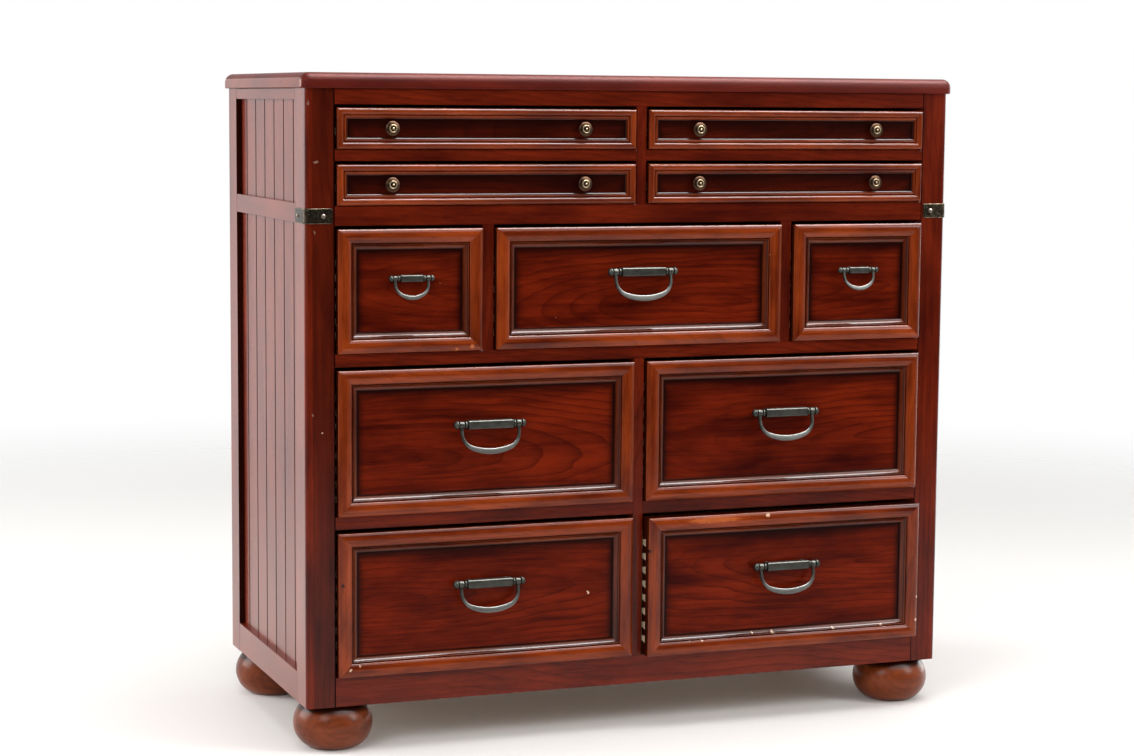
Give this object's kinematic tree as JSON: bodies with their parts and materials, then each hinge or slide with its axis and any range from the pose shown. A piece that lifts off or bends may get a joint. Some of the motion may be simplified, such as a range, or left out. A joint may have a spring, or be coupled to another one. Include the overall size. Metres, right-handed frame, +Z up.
{
  "type": "dresser",
  "caption": "Wide lacquered wooden dresser on bun feet, with shallow knobbed drawers over deep drawers that have swinging bail pulls, grooved side panels and metal corner straps.",
  "frame": {"origin": "on the floor, under the middle of the box round the whole dresser", "axes": "+X along the front to the right as seen from the front, +Y from the front to the back, +Z up"},
  "size_m": [1.157, 0.559, 1.0935],
  "materials": {
    "frame_lacquer": "gloss lacquer",
    "drawer_lacquer": "gloss lacquer",
    "foot_lacquer": "gloss lacquer",
    "drawer_wood": "clear sealed",
    "inner_wood": "bare",
    "back_board": "stained",
    "antique_brass": "antique",
    "antique_pewter": "antique",
    "dark_bronze": "hammered, dark",
    "zinc_steel": "zinc plated"
  },
  "bodies": {
    "carcass": {"top_panel": "frame_lacquer", "left_front_post": "frame_lacquer", "right_front_post": "frame_lacquer", "left_rear_post": "frame_lacquer", "right_rear_post": "frame_lacquer", "side_rails": "frame_lacquer", "side_panels": "frame_lacquer", "front_rails": "frame_lacquer", "short_rails": "frame_lacquer", "drawer_dividers": "frame_lacquer", "feet": "foot_lacquer", "drawer_runners": "inner_wood", "drawer_guides": "inner_wood", "web_rails": "inner_wood", "dust_panels": "inner_wood", "corner_blocks": "inner_wood", "back_panel": "back_board", "foot_bolts": "zinc_steel", "corner_straps": "dark_bronze", "strap_screws": "dark_bronze"},
    "upper_left_drawer": {"upper_left_front": "drawer_lacquer", "upper_left_box": "drawer_wood", "upper_left_knobs": "antique_brass"},
    "upper_right_drawer": {"upper_right_front": "drawer_lacquer", "upper_right_box": "drawer_wood", "upper_right_knobs": "antique_brass"},
    "second_left_drawer": {"second_left_front": "drawer_lacquer", "second_left_box": "drawer_wood", "second_left_knobs": "antique_brass"},
    "second_right_drawer": {"second_right_front": "drawer_lacquer", "second_right_box": "drawer_wood", "second_right_knobs": "antique_brass"},
    "middle_left_drawer": {"middle_left_front": "drawer_lacquer", "middle_left_box": "drawer_wood", "middle_left_pull": "antique_pewter"},
    "middle_left_handle": {"middle_left_bail": "antique_pewter"},
    "middle_centre_drawer": {"middle_centre_front": "drawer_lacquer", "middle_centre_box": "drawer_wood", "middle_centre_pull": "antique_pewter"},
    "middle_centre_handle": {"middle_centre_bail": "antique_pewter"},
    "middle_right_drawer": {"middle_right_front": "drawer_lacquer", "middle_right_box": "drawer_wood", "middle_right_pull": "antique_pewter"},
    "middle_right_handle": {"middle_right_bail": "antique_pewter"},
    "lower_left_drawer": {"lower_left_front": "drawer_lacquer", "lower_left_box": "drawer_wood", "lower_left_pull": "antique_pewter"},
    "lower_left_handle": {"lower_left_bail": "antique_pewter"},
    "lower_right_drawer": {"lower_right_front": "drawer_lacquer", "lower_right_box": "drawer_wood", "lower_right_pull": "antique_pewter"},
    "lower_right_handle": {"lower_right_bail": "antique_pewter"},
    "bottom_left_drawer": {"bottom_left_front": "drawer_lacquer", "bottom_left_box": "drawer_wood", "bottom_left_pull": "antique_pewter"},
    "bottom_left_handle": {"bottom_left_bail": "antique_pewter"},
    "bottom_right_drawer": {"bottom_right_front": "drawer_lacquer", "bottom_right_box": "drawer_wood", "bottom_right_pull": "antique_pewter"},
    "bottom_right_handle": {"bottom_right_bail": "antique_pewter"}
  },
  "joints": [
    {"name": "upper_left_slide", "type": "slide", "parent": "carcass", "child": "upper_left_drawer", "axis": [0, -1, 0], "range_m": [0, 0.3]},
    {"name": "upper_right_slide", "type": "slide", "parent": "carcass", "child": "upper_right_drawer", "axis": [0, -1, 0], "range_m": [0, 0.3]},
    {"name": "second_left_slide", "type": "slide", "parent": "carcass", "child": "second_left_drawer", "axis": [0, -1, 0], "range_m": [0, 0.3]},
    {"name": "second_right_slide", "type": "slide", "parent": "carcass", "child": "second_right_drawer", "axis": [0, -1, 0], "range_m": [0, 0.3]},
    {"name": "middle_left_slide", "type": "slide", "parent": "carcass", "child": "middle_left_drawer", "axis": [0, -1, 0], "range_m": [0, 0.3]},
    {"name": "middle_left_bail_swing", "type": "hinge", "parent": "middle_left_drawer", "child": "middle_left_handle", "pos_m": [-0.3995, -0.25075, 0.768], "axis": [-1, 0, 0], "range_deg": [0, 110]},
    {"name": "middle_centre_slide", "type": "slide", "parent": "carcass", "child": "middle_centre_drawer", "axis": [0, -1, 0], "range_m": [0, 0.3]},
    {"name": "middle_centre_bail_swing", "type": "hinge", "parent": "middle_centre_drawer", "child": "middle_centre_handle", "pos_m": [0, -0.25225, 0.772], "axis": [-1, 0, 0], "range_deg": [0, 110]},
    {"name": "middle_right_slide", "type": "slide", "parent": "carcass", "child": "middle_right_drawer", "axis": [0, -1, 0], "range_m": [0, 0.3]},
    {"name": "middle_right_bail_swing", "type": "hinge", "parent": "middle_right_drawer", "child": "middle_right_handle", "pos_m": [0.3995, -0.25075, 0.768], "axis": [-1, 0, 0], "range_deg": [0, 110]},
    {"name": "lower_left_slide", "type": "slide", "parent": "carcass", "child": "lower_left_drawer", "axis": [0, -1, 0], "range_m": [0, 0.3]},
    {"name": "lower_left_bail_swing", "type": "hinge", "parent": "lower_left_drawer", "child": "lower_left_handle", "pos_m": [-0.266, -0.25225, 0.5285], "axis": [-1, 0, 0], "range_deg": [0, 110]},
    {"name": "lower_right_slide", "type": "slide", "parent": "carcass", "child": "lower_right_drawer", "axis": [0, -1, 0], "range_m": [0, 0.3]},
    {"name": "lower_right_bail_swing", "type": "hinge", "parent": "lower_right_drawer", "child": "lower_right_handle", "pos_m": [0.266, -0.25225, 0.5285], "axis": [-1, 0, 0], "range_deg": [0, 110]},
    {"name": "bottom_left_slide", "type": "slide", "parent": "carcass", "child": "bottom_left_drawer", "axis": [0, -1, 0], "range_m": [0, 0.3]},
    {"name": "bottom_left_bail_swing", "type": "hinge", "parent": "bottom_left_drawer", "child": "bottom_left_handle", "pos_m": [-0.266, -0.25225, 0.2665], "axis": [-1, 0, 0], "range_deg": [0, 110]},
    {"name": "bottom_right_slide", "type": "slide", "parent": "carcass", "child": "bottom_right_drawer", "axis": [0, -1, 0], "range_m": [-0.015, 0.285]},
    {"name": "bottom_right_bail_swing", "type": "hinge", "parent": "bottom_right_drawer", "child": "bottom_right_handle", "pos_m": [0.266, -0.26725, 0.2665], "axis": [-1, 0, 0], "range_deg": [0, 110]}
  ]
}
